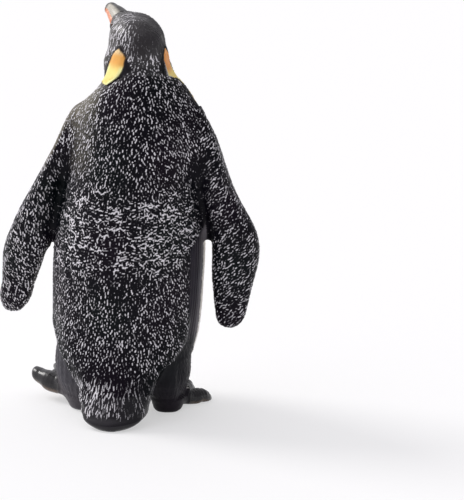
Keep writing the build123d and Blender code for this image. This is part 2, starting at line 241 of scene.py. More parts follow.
# which moulding each face of the skin lies over, with stray faces given to their neighbours
points, triangles, owners = [], [], []
for number, node in enumerate(PLUMAGE):
    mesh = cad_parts[node].data
    mesh.calc_loop_triangles()
    base = len(points)
    points += [vert.co / MM for vert in mesh.vertices]
    for triangle in mesh.loop_triangles:
        triangles.append([base + corner for corner in triangle.vertices])
        owners.append(number)
tree = BVHTree.FromPolygons(points, triangles)
owner_of_point = np.array([owners[tree.find_nearest(spot)[2]] for spot in place])
corners = np.empty(len(skin.polygons) * 4, np.int64)
skin.polygons.foreach_get("vertices", corners)
corners = corners.reshape(-1, 4)
votes = np.zeros((len(corners), len(PLUMAGE)))
for column in range(4):
    votes[np.arange(len(corners)), owner_of_point[corners[:, column]]] += 1
owner_of_face = votes.argmax(1)
for _ in range(LABEL_ROUNDS):
    weights = np.zeros((len(place), len(PLUMAGE)))
    for column in range(4):
        np.add.at(weights, (corners[:, column], owner_of_face), 1)
    owner_of_face = (weights[corners].sum(1) + votes * 0.5).argmax(1)
owner_of_point[corners.ravel()] = np.repeat(owner_of_face, 4)


def over(*nodes):
    """Whether each point of the skin lies over one of some mouldings."""
    return np.isin(owner_of_point, [PLUMAGE.index(node) for node in nodes])


# Sculpted lines
# The lines cut into the master before casting: the mantle's raised edge, grooves on flank, legs and tail,
# and the step under each ear patch.
MANTLE_EDGE_RISE = 0.32
MANTLE_EDGE_FALL = 0.25
TAIL_STEP = 0.4
TAIL_GROOVE = 0.16
LEG_GROOVES = (("left_leg", 1, 0.07), ("right_leg", -1, 0.015))
LEG_RADIUS = 4.4
FLANK_GROOVE = 0.05
PATCH_STEP = 0.10
PATCH_GROOVE = 0.3

# an ear patch's outline, each point as its height from the patch's middle and its reach forward
PATCH_AXIS = np.array([-2.39, -0.71])
PATCH_TURN = math.radians(22.1)
PATCH_BACK = 2.0
PATCH_MIDDLE = 60.5
PATCH_TOP_LEFT = 2.2
PATCH_TOP_RIGHT = 2.5
PATCH_NECK_HALF = 1.6
PATCH_SLANT = 2.0
PATCH_SLANT_LENGTH = 2.24
PATCH_SLANT_DROP = 5.4
PATCH_FOOT_DROP = 3.9
PATCH_FOOT_SLANT = 0.75
PATCH_FOOT_FRONT = -0.4
PATCH_REAR_LEFT = [(-2.1, -1.64), (-1.3, -1.55), (0.86, -1.31), (1.44, -1.0), (2.2, -0.2)]
PATCH_REAR_RIGHT = [(-1.8, -1.7), (0.23, -1.15), (1.22, -0.95), (2.05, -0.5), (2.5, 0.1)]
PATCH_FRONT = [(-8.0, 7.0), (-5.5, 5.4), (-3.6, 2.8), (-2.5, 2.0), (0.76, 1.3), (1.7, 0.6), (2.3, -0.2)]


def patch_share(spots):
    """How far points lie inside the outline of an ear patch, in millimetres, with their height on it."""
    gaze = np.array([math.sin(PATCH_TURN), -math.cos(PATCH_TURN)])
    side = np.array([math.cos(PATCH_TURN), math.sin(PATCH_TURN)])
    level = spots[:, :2] - PATCH_AXIS
    forward = level @ gaze + PATCH_BACK
    rise = spots[:, 2] - PATCH_MIDDLE
    left_rear = np.interp(rise, *zip(*PATCH_REAR_LEFT))
    right_rear = np.interp(rise, *zip(*PATCH_REAR_RIGHT))
    inside = forward - np.where(level @ side > 0, left_rear, right_rear)
    inside = np.minimum(inside, np.interp(rise, *zip(*PATCH_FRONT)) - forward)
    inside = np.minimum(inside, (rise + PATCH_SLANT_DROP + PATCH_SLANT * forward) / PATCH_SLANT_LENGTH)
    inside = np.minimum(inside, rise + PATCH_FOOT_DROP + PATCH_FOOT_SLANT * np.maximum(forward - 1.0, 0))
    inside = np.minimum(inside, np.where(level @ side > 0, PATCH_TOP_LEFT, PATCH_TOP_RIGHT) - rise)
    inside = np.where(rise < -3.6, np.minimum(inside, PATCH_FOOT_FRONT - spots[:, 1]), inside)
    return np.minimum(inside, np.abs(level @ side) - PATCH_NECK_HALF), rise


across, along, height = place.T
mantle = mantle_share(place, 0.25)
flipper = over("left_flipper", "right_flipper")
on_torso = over("back_shell", "belly_shell", "left_leg", "right_leg", "tail")
neck = over("head", "left_ear_patch", "right_ear_patch")
patch_inside, patch_rise = patch_share(place)
in_patch = ease(patch_inside, -0.12, 0.1)

edge_inside = np.interp(height, *zip(*MANTLE_LEFT)) - across
edge_inside = np.minimum(edge_inside, across - np.interp(height, *zip(*MANTLE_RIGHT)))
low_part = ease(height, 20, 15) * ease(height, 2.6, 4.4) * ease(along, 1.0, 3.0) * on_torso
beyond_edge = ease(edge_inside, 0.1, -0.4) * ease(edge_inside, -3.0, -1.0)
cut = low_part * (MANTLE_EDGE_RISE * bell(edge_inside - 0.35, 0.55) - MANTLE_EDGE_FALL * beyond_edge)
tail_back = over("tail") * ease(along, 8.5, 10.5) * ease(facing[:, 1], 0.2, 0.6)
step_height = 5.6 + 0.10 * across
cut += tail_back * TAIL_STEP * ease(height - step_height, 0.5, -0.5) * ease(across, -3.5, 1.0)
cut -= tail_back * TAIL_GROOVE * bell(height - 2.0, 0.4)
for node, side, depth in LEG_GROOVES:
    around = np.arctan2(along - LEG_BACK, across - LEG_MIDDLE - side * LEG_SPREAD) * LEG_RADIUS
    cut += over(node) * depth * np.cos(around * 6.5 + 1.5 * np.sin(height * 0.6)) * (1 - mantle)
flank = on_torso * (1 - mantle) * ease(along, -0.2, 0.6) * ease(height, 37, 32) * ease(height, 12, 15)
cut += FLANK_GROOVE * flank * np.cos(along * 8.2)
cut += PATCH_STEP * ease(patch_inside, -0.1, 0.5) * neck
under_patch = bell(patch_inside + 0.35, 0.25) * ease(patch_rise, -1.2, -2.0) * ease(along, 0.0, 1.0)
cut -= PATCH_GROOVE * under_patch

# where the form is fuller or leaner than the mouldings beneath it
CROWN_TRIM = 0.38
CROWN_TOP_TRIM = 0.35
CHEEK_TRIM = 0.6
THROAT_SWELL = 1.1
SHOULDER_TRIM = 0.3
FLIPPER_TIP_SWELL = 0.35
LEFT_EDGE_SWELL = 0.4
LEFT_INNER_TRIM = 0.45
RIGHT_ELBOW_SWELL = 0.5
RIGHT_LEG_TRIM = 0.5
TAIL_MIDDLE = 0.5
TAIL_ROUNDING = 0.42
TAIL_LIP = 1.1
outward_left = ease(facing[:, 0], 0.1, 0.7)
outward_right = ease(-facing[:, 0], 0.1, 0.7)
crown = facing @ np.array([-0.75, 0.0, 0.66])
cut -= CROWN_TRIM * neck * ease(height, 55, 58) * ease(crown, 0.0, 0.7) * ease(facing[:, 1], -0.4, 0.0)
left_edge = LEFT_EDGE_SWELL * ease(height, 32, 26) * outward_left
cut += over("left_flipper") * (left_edge + FLIPPER_TIP_SWELL * ease(height, 21, 18))
cut -= LEFT_INNER_TRIM * over("left_flipper") * ease(height, 29, 26) * outward_right
right_elbow = RIGHT_ELBOW_SWELL * bell(height - 40.5, 4.0) * outward_right
cut += over("right_flipper") * (right_elbow + FLIPPER_TIP_SWELL * ease(height, 18, 15))
cut -= RIGHT_LEG_TRIM * over("right_leg") * ease(across, -8.5, -10.0) * ease(height, 12, 9)
cut -= CHEEK_TRIM * neck * bell(height - 60.5, 3.5) * outward_right * ease(facing[:, 1], -0.8, -0.45)
crown_top = ease(height, 64.0, 66.5) * ease(facing[:, 2], 0.3, 0.8) * ease(along, -4.6, -2.6)
cut -= CROWN_TOP_TRIM * neck * crown_top
cut -= SHOULDER_TRIM * on_torso * bell(height - 53, 4.0) * outward_right
throat = neck * bell(height - 60.2, 2.2) * ease(across, -1.0, 2.0) * ease(along, 2.2, 0.2)
place[:, 0] += THROAT_SWELL * throat
place += facing * cut[:, None]
rounding = over("tail") * TAIL_ROUNDING * np.clip(1 - height / 2.6, 0, 1) ** 2
place[:, 0] -= (place[:, 0] - TAIL_MIDDLE) * rounding
place[:, 1] += TAIL_LIP * over("tail") * bell(height - 0.9, 1.3) * ease(facing[:, 1], 0.1, 0.6)

# Toes
# The three clawed toes of each foot, shaped in the same master as the legs and ribbed across.
# The left outer toe curls up off the ground, and the right one lies out to the side.
ANKLE_SHIFT = [(0, 0.15), (1.2, 0.15), (2.2, 0.0), (2.8, -0.25), (4.5, -0.12), (5.3, 0.0)]
OUTER_TOE_HEADING = {"left_foot": (44, 50), "right_foot": (18, 24)}
OUTER_TOE_SWELL = {"left_foot": 0.55, "right_foot": 0.15}
TOE_RIB = {"left_foot": 0.012, "right_foot": 0.035}
CLAW_SWELL = 0.4
LEFT_TOE_CURL = 0.10
LEFT_TOE_DROP = 0.7
RIGHT_TOE_BEND = 2.4
RIGHT_TOE_DROP = 0.45
toe_reach = {}
for node, side in (("left_foot", 1), ("right_foot", -1)):
    reach_x = side * (across - LEG_MIDDLE - side * LEG_SPREAD)
    reach_y = LEG_BACK - along
    out = np.hypot(reach_x, reach_y)
    heading = np.degrees(np.arctan2(reach_x, reach_y))
    ankle = over(node, node.replace("foot", "leg")) * ease(reach_y, 1.5, 0.0) * ease(out, 1.0, 2.2)
    drawn = ankle * np.interp(height, *zip(*ANKLE_SHIFT)) / np.maximum(out, 1.0)
    place[:, 0] += side * reach_x * drawn
    place[:, 1] -= reach_y * drawn
    outer = over(node) * ease(heading, *OUTER_TOE_HEADING[node])
    ribs = over(node) * ease(out, 4.0, 5.0) * ease(out, 11.5, 10.5) * ease(facing[:, 2], -0.2, 0.3)
    ribs *= np.cos(out * 7.2) * TOE_RIB[node]
    fuller = outer * ease(out, 5, 8) * OUTER_TOE_SWELL[node] + CLAW_SWELL * outer * ease(out, 8.5, 10.5)
    place += facing * (ribs + fuller)[:, None]
    if node == "left_foot":
        curl = LEFT_TOE_CURL * np.clip(out - 7.5, 0, 4.2) ** 2
        place[:, 2] += outer * (curl - LEFT_TOE_DROP * ease(out, 5, 8))
    else:
        place[:, 1] += RIGHT_TOE_BEND * outer * ease(out, 4, 10)
        place[:, 2] -= RIGHT_TOE_DROP * outer * ease(out, 4, 8)
    toe_reach[node] = out

# Feathers
# The sculpted feathers of the skin: short raised strokes that catch the white of a dry brush.
# They lean outwards on the shoulders, curl across the middle of the back and slant on the flippers.
FEATHER_HEIGHT = 0.10
FEATHER_SPACING = 0.40
FEATHER_HALF_LONG = (0.13, 0.32)
FEATHER_HALF_WIDE = (0.088, 0.135)
FEATHER_TRIES = 240000
FEATHER_SEED = 20
CELLS_AROUND = [(dx, dy, dz) for dx in (-1, 0, 1) for dy in (-1, 0, 1) for dz in (-1, 0, 1)]
CURL_COUNT = 48
CURL_HALF_LONG = 0.24
CURL_HALF_WIDE = 0.11
CURL_STEP = 0.4
SIDEWAYS = 1.57
HOLLOW_SHADE_SHARE = 0.5
HOLLOW_SHADE_WIDTH = 1.5
rear_facing = ease(facing[:, 1], -0.45, 0.0)

# how thickly each point is feathered, and how much of the brush it takes
coverage = np.where(on_torso, np.maximum(mantle, 0.4), 0.0)
coverage = np.where(flipper, np.maximum(rear_facing, 0.4), coverage)
coverage = np.where(neck, 1.0, coverage) * (1 - in_patch) * (1 - flank)
coverage *= ease(height, 1.8, 3.0) * (1 - 0.5 * over("tail") * ease(height, 7.0, 5.5))
brush = np.where(on_torso, mantle * (0.55 + 0.45 * ease(height, 7, 11)), 0.0)
brush = np.where(flipper, rear_facing * np.where(across < 0, 0.9, 1.0), brush)
# dry-brush flecks on the head, growing on its left side as a painted highlight
fleck_and_highlight = (0.4 + 0.5 * ease(across, -3.8, 0.8)) * (0.55 + 0.45 * ease(along, -6.0, -2.5))
brush = np.where(neck, np.maximum(fleck_and_highlight, 1.25 * ease(along, 0.3, 1.8) * ease(height, 63.2, 60.5)), brush)

# the tail's brush is stronger on its upper left as a painted highlight
tail_brush_and_highlight = 0.62 + 0.45 * ease(across, -2.0, 2.5) * ease(height, 1.9, 2.6)
brush += (tail_brush_and_highlight - brush) * over("tail") * ease(height, 8.5, 6.0)
brush *= (1 - under_patch) * (1 - in_patch)

# painted shade: the white strokes are dimmed in the hollow between each flipper and the back
meeting = np.unique(corners[flipper[corners].any(1) & on_torso[corners].any(1)])
hollow = KDTree(len(meeting))
for number, point in enumerate(meeting):
    hollow.insert(place[point], number)
hollow.balance()
hollow_gap = np.array([hollow.find(spot)[2] for spot in place])
brush *= 1 - HOLLOW_SHADE_SHARE * bell(hollow_gap, HOLLOW_SHADE_WIDTH) * ease(height, 47, 43)

dice = np.random.default_rng(FEATHER_SEED)
taken = {}
chosen = []
for point in dice.permutation(len(place))[:FEATHER_TRIES]:
    if dice.random() > coverage[point]:
        continue
    cell = tuple((place[point] / FEATHER_SPACING).astype(int))
    near = False
    for dx, dy, dz in CELLS_AROUND:
        for other in taken.get((cell[0] + dx, cell[1] + dy, cell[2] + dz), ()):
            gap = place[other] - place[point]
            near = near or gap @ gap < FEATHER_SPACING * FEATHER_SPACING
    if not near:
        taken.setdefault(cell, []).append(point)
        chosen.append(point)

finder = KDTree(len(place))
for number, spot in enumerate(place):
    finder.insert(spot, number)
finder.balance()
feather = np.zeros(len(place))
bare = place.copy()


def stroke(point, turn, half_long, half_wide, bend, strength):
    """Raises one feather on the skin, turned from straight down, and returns the way it points."""
    normal = facing[point]
    down = np.array([0.0, 0.0, -1.0]) + normal * normal[2]
    down /= np.linalg.norm(down) + 1e-9
    aim = down * math.cos(turn) + np.cross(normal, down) * math.sin(turn)
    found = [number for spot, number, gap in finder.find_range(bare[point], half_long + 0.3)]
    offset = bare[found] - bare[point]
    run = offset @ aim
    drift = offset @ np.cross(normal, aim) - bend * run * run
    beyond = np.maximum(np.abs(run) - half_long + half_wide, 0)
    raised = strength * np.exp(-(drift * drift + beyond * beyond) / (half_wide * half_wide * 1.3))
    feather[found] = np.maximum(feather[found], raised)
    return aim


for point in chosen:
    tall = height[point]
    half_long = dice.uniform(*FEATHER_HALF_LONG)
    half_wide = dice.uniform(*FEATHER_HALF_WIDE)
    bend = dice.normal(0, 0.3)
    turn = dice.normal(-0.03 * across[point], 0.35)
    if flipper[point]:
        turn = dice.normal(-0.75 if across[point] < 0 else 0.3, 0.3)
        half_long *= 1.15
    elif neck[point] and tall > 61:
        half_long *= 1.9
    elif on_torso[point] and tall < 8:
        half_long *= 2.0
        half_wide *= 0.85
        turn *= 0.4
    elif on_torso[point] and dice.random() < 0.6 * ease(tall, 41.0, 37.0) * ease(tall, 24.0, 29.0):
        turn = dice.normal(1.45, 0.5)
        half_long *= 1.2
    stroke(point, turn, half_long, half_wide, bend, dice.uniform(0.3, 1.0))

# long curls across the middle of the back, each a chain of strokes
middle = np.flatnonzero((mantle > 0.9) & on_torso & (height > 26) & (height < 40) & (along > 4))
for point in dice.choice(middle, CURL_COUNT, replace=False):
    swing = dice.uniform(0, 6.28)
    for step in range(dice.integers(3, 8)):
        turn = SIDEWAYS + 0.75 * math.sin(swing + 1.35 * step) + dice.normal(0, 0.2)
        aim = stroke(point, turn, CURL_HALF_LONG, CURL_HALF_WIDE, 0.0, dice.uniform(0.75, 1.0))
        point = finder.find(bare[point] + aim * CURL_STEP)[1]
place += facing * (feather * FEATHER_HEIGHT)[:, None]
place[:, 2] = np.maximum(place[:, 2], 0)
feather *= brush

# The finished skin
# Soft vinyl in satin paint, with white dry-brushed over the raised strokes.
# It is cut into one closed piece over each moulding, with a lip turned in along the seams.
# Every piece keeps the directions that the whole skin faces, so that they shade as one casting.
LIP_DEPTH = 0.8
COOL_TONE = (0.98, 1.0, 1.02, 1.0)
WARM_TONE = (1.02, 1.0, 0.98, 1.0)
DRY_WHITE = (0.83, 0.81, 0.85, 1.0)
BRUSH_RAGGED = 0.4
BRUSH_EDGE = (0.45, 0.95)
PIT_DEPTH = 0.05
skin.vertices.foreach_set("co", (place * MM).astype(np.float32).ravel())
skin.update()
facing = read_normals(skin)
skin_number = skin.attributes.new("skin_number", "INT", "POINT")
skin_number.data.foreach_set("value", np.arange(len(place), dtype=np.int32))


def skin_piece(node):
    """The part of the skin over one moulding, closed behind, and the numbers of its points in the skin."""
    form = bmesh.new()
    form.from_mesh(skin)
    mine = PLUMAGE.index(node)
    others = [face for face, owner in zip(form.faces, owner_of_face) if owner != mine]
    bmesh.ops.delete(form, geom=others, context="FACES")
    rim = [edge for edge in form.edges if edge.is_boundary]
    lip = bmesh.ops.extrude_edge_only(form, edges=rim)["geom"]
    number_of = form.verts.layers.int["skin_number"]
    for vert in lip:
        if isinstance(vert, bmesh.types.BMVert):
            vert.co -= Vector(facing[vert[number_of]]) * LIP_DEPTH * MM
    rim = [edge for edge in form.edges if edge.is_boundary]
    lids = bmesh.ops.holes_fill(form, edges=rim, sides=0)["faces"]
    bmesh.ops.triangulate(form, faces=lids)
    mesh = bpy.data.meshes.new(node)
    form.to_mesh(mesh)
    form.free()
    mesh.shade_smooth()
    numbers = np.empty(len(mesh.vertices), np.int32)
    mesh.attributes["skin_number"].data.foreach_get("value", numbers)
    mesh.normals_split_custom_set_from_vertices(facing[numbers].tolist())
    mesh.attributes.remove(mesh.attributes["skin_number"])
    piece = bpy.data.objects.new(node + "_skin", mesh)
    bpy.context.scene.collection.objects.link(piece)
    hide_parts(node)
    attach(piece, "root")
    return piece, numbers


def tint(red, green, blue):
    """A paint colour in the renderer's own scale, from the usual 0 to 255."""
    made = []
    for part in (red, green, blue):
        share = part / 255
        made.append(share / 12.92 if share <= 0.04045 else ((share + 0.055) / 1.055) ** 2.4)
    return np.array(made)


def blend(under, top, share):
    """Paint laid over paint, by a share for each point."""
    share = np.asarray(share, float)[:, None]
    return under * (1 - share) + top * share


def lay_paint(piece, colours, brushed=None):
    """Stores the paint of each point, and how much of the dry brush it took, painted highlight and shade
    included.
    """
    mesh = piece.data
    full = np.ones((len(mesh.vertices), 4), np.float32)
    full[:, :3] = colours
    mesh.attributes.new("paint", "FLOAT_COLOR", "POINT").data.foreach_set("color", full.ravel())
    taken = np.zeros(len(mesh.vertices), np.float32) if brushed is None else brushed.astype(np.float32)
    mesh.attributes.new("brushed", "FLOAT", "POINT").data.foreach_set("value", taken)


def painted_vinyl(name, roughness, grain, gloss, patchy):
    """Satin paint on vinyl, uneven in tone and hue, with a ragged dry brush on the raised strokes."""
    material = bpy.data.materials.new(name)
    material.use_nodes = True
    nodes, links = material.node_tree.nodes, material.node_tree.links
    shader = nodes["Principled BSDF"]
    spots = nodes.new("ShaderNodeTexCoord").outputs["Object"]

    def noise(scale, detail):
        texture = nodes.new("ShaderNodeTexNoise")
        texture.inputs["Scale"].default_value = scale
        texture.inputs["Detail"].default_value = detail
        links.new(spots, texture.inputs["Vector"])
        return texture.outputs["Fac"]

    def mapped(value, **limits):
        scaled = nodes.new("ShaderNodeMapRange")
        for limit, amount in limits.items():
            scaled.inputs[limit.replace("_", " ").title()].default_value = amount
        links.new(value, scaled.inputs["Value"])
        return scaled

    def stored(attribute):
        reader = nodes.new("ShaderNodeAttribute")
        reader.attribute_name = attribute
        return reader.outputs

    cloud = noise(130.0, 3.0)
    mottle = noise(900.0, 4.0)
    ragged = noise(4800.0, 2.0)
    hue = nodes.new("ShaderNodeValToRGB")
    hue.color_ramp.elements[0].position = 0.38
    hue.color_ramp.elements[0].color = COOL_TONE
    hue.color_ramp.elements[1].position = 0.62
    hue.color_ramp.elements[1].color = WARM_TONE
    links.new(cloud, hue.inputs["Fac"])
    hued = nodes.new("ShaderNodeVectorMath")
    hued.operation = "MULTIPLY"
    links.new(stored("paint")["Color"], hued.inputs[0])
    links.new(hue.outputs["Color"], hued.inputs[1])
    uneven = mapped(mottle, from_min=0.3, from_max=0.7, to_min=1.0 - patchy, to_max=1.0 + patchy)
    toned = nodes.new("ShaderNodeVectorMath")
    toned.operation = "SCALE"
    links.new(hued.outputs["Vector"], toned.inputs[0])
    links.new(uneven.outputs["Result"], toned.inputs["Scale"])
    torn = nodes.new("ShaderNodeMath")
    torn.operation = "MULTIPLY_ADD"
    torn.inputs[1].default_value = BRUSH_RAGGED
    links.new(ragged, torn.inputs[0])
    links.new(stored("brushed")["Fac"], torn.inputs[2])
    edge = mapped(torn.outputs["Value"], from_min=BRUSH_EDGE[0], from_max=BRUSH_EDGE[1])
    edge.interpolation_type = "SMOOTHSTEP"
    whitened = nodes.new("ShaderNodeMix")
    whitened.data_type = "RGBA"
    whitened.inputs[7].default_value = DRY_WHITE
    links.new(edge.outputs["Result"], whitened.inputs[0])
    links.new(toned.outputs["Vector"], whitened.inputs[6])
    links.new(whitened.outputs[2], shader.inputs["Base Color"])
    dulled = mapped(mottle, to_min=roughness - 0.06, to_max=roughness + 0.10)
    links.new(dulled.outputs["Result"], shader.inputs["Roughness"])
    pitted = nodes.new("ShaderNodeBump")
    pitted.inputs["Strength"].default_value = grain
    pitted.inputs["Distance"].default_value = PIT_DEPTH * MM
    links.new(ragged, pitted.inputs["Height"])
    links.new(pitted.outputs["Normal"], shader.inputs["Normal"])
    shader.inputs["Specular IOR Level"].default_value = gloss
    return material


# Ear patches
# Two thin inlays on the sides of the neck, sprayed from cream through orange to yellow.
# Their spray runs a little way over the neck and the shoulder beside them, and the right patch is darker in
# painted shade.
PATCH_CREAM = tint(246, 214, 160)
PATCH_ORANGE = tint(242, 178, 90)
PATCH_YELLOW = tint(252, 230, 138)
PATCH_LIME = tint(248, 246, 176)
PATCH_SHADED = PATCH_ORANGE * np.array([0.92, 0.75, 0.8])
NECK_MIDDLE = -2.4
PLUM_BLACK = tint(17, 9, 21)
TEAL_BLACK = tint(7, 13, 16)
SHOULDER_SHEEN_GREY = tint(124, 119, 106)
patch_paint = painted_vinyl("ear_patch_paint", 0.42, 0.15, 0.3, 0.05)


def spray_patches(under, numbers):
    """The colours of some points with the sprayed patches over them."""
    inside, rise = patch_inside[numbers], patch_rise[numbers]
    right_side = place[numbers, 0] < NECK_MIDDLE
    spray = np.tile(PATCH_YELLOW, (len(numbers), 1))
    # painted shade: the right patch, away from the lamp, is sprayed darker and with little cream
    spray = blend(spray, PATCH_ORANGE, ease(rise, -1.5, 0.1) * (1 - 0.2 * right_side))
    spray = blend(spray, PATCH_SHADED, right_side * ease(rise, -2.2, -1.0))
    spray = blend(spray, PATCH_CREAM, ease(rise, 0.9, 1.9) * np.where(right_side, 0.1, 1.0))
    spray = blend(spray, PATCH_LIME, ease(inside, 0.7, 0.1) * ease(rise, -0.3, -1.2) * ease(rise, -4.0, -3.4))
    return blend(under, spray, in_patch[numbers])


def dark_plumage(numbers):
    """The dark paint of some points, purple and teal by turns, with a painted sheen on top of the left
    shoulder where the lamp falls.
    """
    x, y, z = place[numbers].T
    cloud = 0.5 + 0.5 * np.sin(x * 0.31 + 1.0) * np.sin(z * 0.27 + y * 0.2 + 0.5)
    colours = blend(np.tile(PLUM_BLACK, (len(numbers), 1)), TEAL_BLACK, cloud)
    upward = facing[numbers] @ np.array([0.72, 0.1, 0.68])
    # painted sheen: paler grey where the left shoulder faces the lamp
    painted_sheen = ease(upward, 0.55, 0.95) * ease(z, 40, 46) * ease(z, 58.5, 56.5) * ease(x, 2, 5)
    return blend(colours, SHOULDER_SHEEN_GREY, 0.7 * painted_sheen)


for node in ("left_ear_patch", "right_ear_patch"):
    piece, numbers = skin_piece(node)
    lay_paint(piece, spray_patches(dark_plumage(numbers), numbers))
    piece.data.materials.append(patch_paint)

# Back and belly shells
# The two glued halves of the torso, in soft vinyl painted purple-black behind and cream-white in front.
# A smooth charcoal band runs down each flank between the two, where the halves meet.
FLANK_GREY = tint(50, 47, 54)
FLANK_PALE = tint(120, 117, 122)
BELLY_WHITE = tint(229, 226, 219)
CHEST_YELLOW = tint(244, 214, 130)
plumage_paint = painted_vinyl("dark_feathered_vinyl", 0.36, 0.6, 0.08, 0.12)
belly_paint = painted_vinyl("pale_belly_vinyl", 0.48, 0.25, 0.15, 0.03)
TORSO = [("back_shell", plumage_paint, "dark_plumage"), ("belly_shell", belly_paint, "pale_plumage")]
for node, finish, slot in TORSO:
    piece, numbers = skin_piece(node)
    x, y, z = place[numbers].T
    wave = 0.12 * np.sin(z * 2.1) + 0.08 * np.sin(z * 5.3 + x)
    bib = 55.5 - 3.2 * bell(x + 1.2, 4.5)
    pale = ease(y + wave + 1.2 * ease(z, 44, 50), 0.15, -0.35) * ease(z - bib, 0.4, -0.6)
    colours = blend(dark_plumage(numbers), FLANK_GREY, flank[numbers])
    colours = blend(colours, FLANK_PALE, flank[numbers] * ease(y, 2.6, 0.2) * 0.8)
    colours = blend(colours, BELLY_WHITE, pale)
    colours = blend(colours, CHEST_YELLOW, pale * ease(z, 38, 52))
    lay_paint(piece, spray_patches(colours, numbers), feather[numbers] * (1 - pale))
    piece.data.materials.append(finish)

# Head and neck
# One moulding plugged into the torso on a keyed peg, black with fine hair-like grooves.
# Its crown is lightened as a painted sheen, and its left cheek greyed as a painted highlight where the lamp
# falls.
# The brush has caught the left cheek and the nape, and hardly the right side, with more flecks on the left as
# painted highlight.
LIT_CHEEK_GREY = tint(66, 63, 58)
CROWN_SHEEN_GREY = tint(44, 40, 43)
head_paint = painted_vinyl("head_satin_vinyl", 0.32, 0.6, 0.45, 0.12)
piece, numbers = skin_piece("head")
x, y, z = place[numbers].T
# painted sheen on the crown, and a painted highlight on the left cheek, which faces the lamp
colours = blend(dark_plumage(numbers), CROWN_SHEEN_GREY, ease(z, 58, 62) * 0.8)
colours = blend(colours, LIT_CHEEK_GREY, ease(x, 0.0, 3.0) * ease(z, 57, 60) * 0.8)
lay_paint(piece, spray_patches(colours, numbers), feather[numbers] * (1 - in_patch[numbers]))
piece.data.materials.append(head_paint)

# Flippers
# Two stiff vinyl blades plugged into the shoulders on keyed pegs, dark outside and brushed with white.
# The side towards the front is pale, as on the belly, up to a slanting edge at the shoulder.
for node in ("left_flipper", "right_flipper"):
    piece, numbers = skin_piece(node)
    edge_height = place[numbers, 2] + 0.8 * (np.abs(place[numbers, 0] - TORSO_MIDDLE) - 12)
    pale = ease(facing[numbers, 1], -0.35, -0.6) * ease(edge_height, 46.5, 45.7)
    lay_paint(piece, blend(dark_plumage(numbers), BELLY_WHITE, pale), feather[numbers] * (1 - pale))
    piece.data.materials.append(plumage_paint)

# Legs
# Two short feathered thighs between the torso and the feet, grooved down their length.
# They are dark behind and pale in front, like the torso, and the left one is greyed as a painted sheen where
# the lamp falls.
LEG_PAINTED_SHEEN = {"left_leg": 0.45, "right_leg": 0.06}
for node in ("left_leg", "right_leg"):
    piece, numbers = skin_piece(node)
    pale = ease(place[numbers, 1], -0.6, -1.6)
    # painted sheen: the left leg is greyed where the lamp falls
    colours = blend(dark_plumage(numbers), FLANK_PALE, LEG_PAINTED_SHEEN[node] * (1 - mantle[numbers]))
    lay_paint(piece, blend(colours, BELLY_WHITE, pale), feather[numbers] * (1 - pale))
    piece.data.materials.append(plumage_paint)

# Tail
# A stiff vinyl wedge, plugged into the back on a keyed peg, that props the bird up.
# It has strands down its back, which the brush has caught, more on its upper left as a painted highlight, and
# a smooth glossy lip at the ground.
TAIL_GLOSS_HEIGHT = 5.4
piece, numbers = skin_piece("tail")
tail_paint = painted_vinyl("tail_gloss_vinyl", 0.20, 0.3, 0.4, 0.12)
lay_paint(piece, dark_plumage(numbers), feather[numbers])
piece.data.materials.append(plumage_paint)
piece.data.materials.append(tail_paint)
for face in piece.data.polygons:
    face.material_index = int(face.center.z < TAIL_GLOSS_HEIGHT * MM)

# Feet
# Two webbed feet with three clawed toes each, cast in vinyl with scales across the toes.
# They are painted black, with tan soles and horn-brown claws, and the heels take the legs' paint and painted
# sheen.
FOOT_BLACK = tint(30, 29, 32)
SOLE_TAN = tint(92, 76, 64)
CLAW_HORN = tint(46, 42, 40)
HEEL_REACH = 4.6
foot_paint = painted_vinyl("foot_skin_paint", 0.24, 0.3, 0.42, 0.10)
for node in ("left_foot", "right_foot"):
    piece, numbers = skin_piece(node)
    out = toe_reach[node][numbers]
    heel = ease(out, 5.0, 3.5)
    beneath = ease(facing[numbers, 2], -0.15, -0.5) * ease(out, 4.2, 5.6)
    painted_sheen = np.full(len(numbers), LEG_PAINTED_SHEEN[node.replace("foot", "leg")])
    leg_colours = blend(dark_plumage(numbers), FLANK_PALE, painted_sheen)
    colours = blend(np.tile(FOOT_BLACK, (len(numbers), 1)), leg_colours, heel)
    colours = blend(colours, SOLE_TAN, beneath)
    colours = blend(colours, CLAW_HORN, ease(out, 10.4, 11.2))
    lay_paint(piece, colours)
    piece.data.materials.append(foot_paint)
    piece.data.materials.append(plumage_paint)
    for face in piece.data.polygons:
        face.material_index = int(out[list(face.vertices)].mean() < HEEL_REACH)

